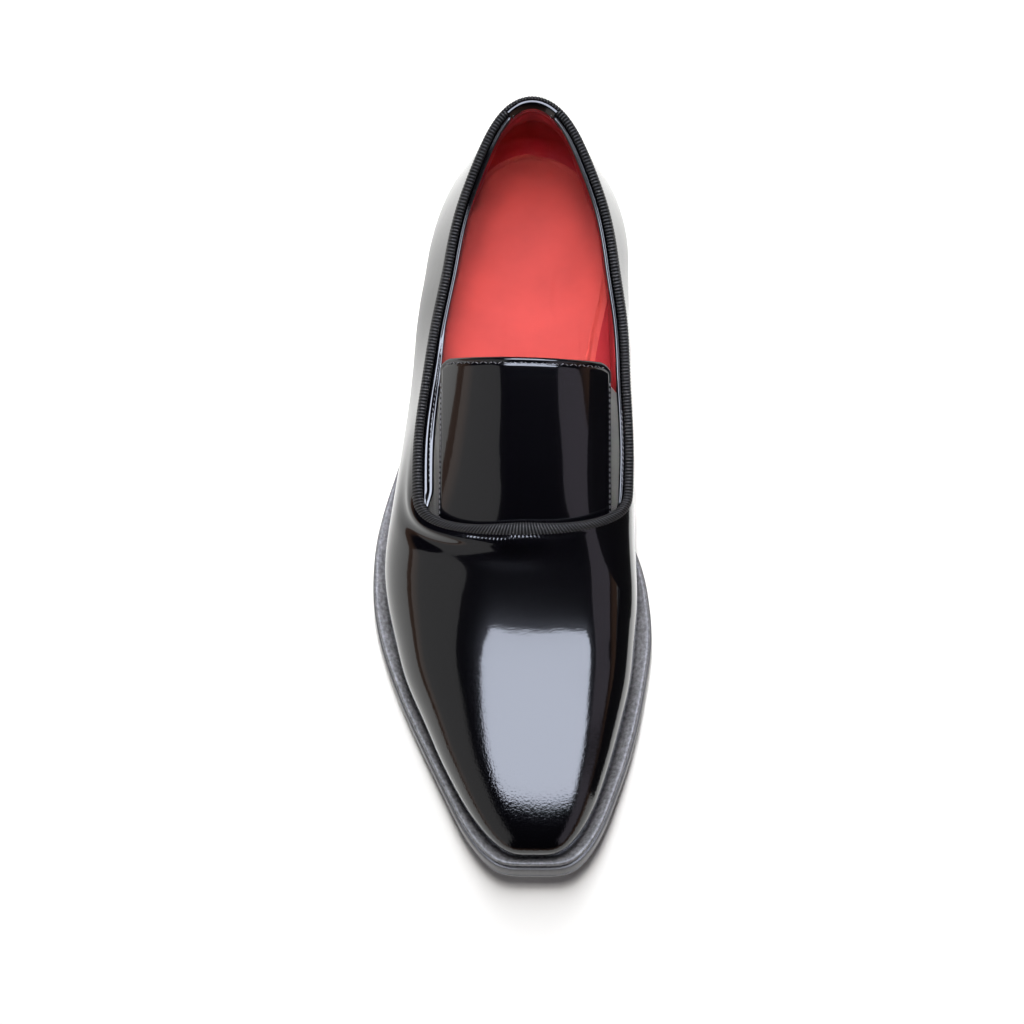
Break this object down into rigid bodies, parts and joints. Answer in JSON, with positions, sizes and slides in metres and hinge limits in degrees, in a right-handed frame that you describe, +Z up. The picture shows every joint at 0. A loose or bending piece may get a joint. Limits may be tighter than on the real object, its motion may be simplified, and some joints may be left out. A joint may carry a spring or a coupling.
{
  "type": "loafer shoe",
  "caption": "Right-foot patent leather loafer with a plain pointed vamp, a separate tongue, a ribbon-bound open collar, a welted sole and a low heel.",
  "frame": {"origin": "on the floor under the middle of the shoe's outer size", "axes": "+Z up, toe towards -Y, heel towards +Y, lateral side -X, medial side +X"},
  "size_m": [0.1121, 0.3057, 0.0932],
  "materials": {
    "patent": "black patent, mirror gloss",
    "ribbon": "black ribbed ribbon, matt",
    "elastic": "dark grey woven elastic, matt",
    "sock": "red smooth leather, satin",
    "welt": "black grained leather, satin",
    "sole": "black sole edge, satin"
  },
  "bodies": {
    "root": {"outsole": "sole", "heel": "sole", "welt": "welt", "insole": "sock", "upper": "patent", "tongue": "patent", "gore_lateral": "elastic", "gore_medial": "elastic", "collar_binding": "ribbon", "collar_facing": "patent", "heel_tab": "patent"}
  },
  "joints": []
}
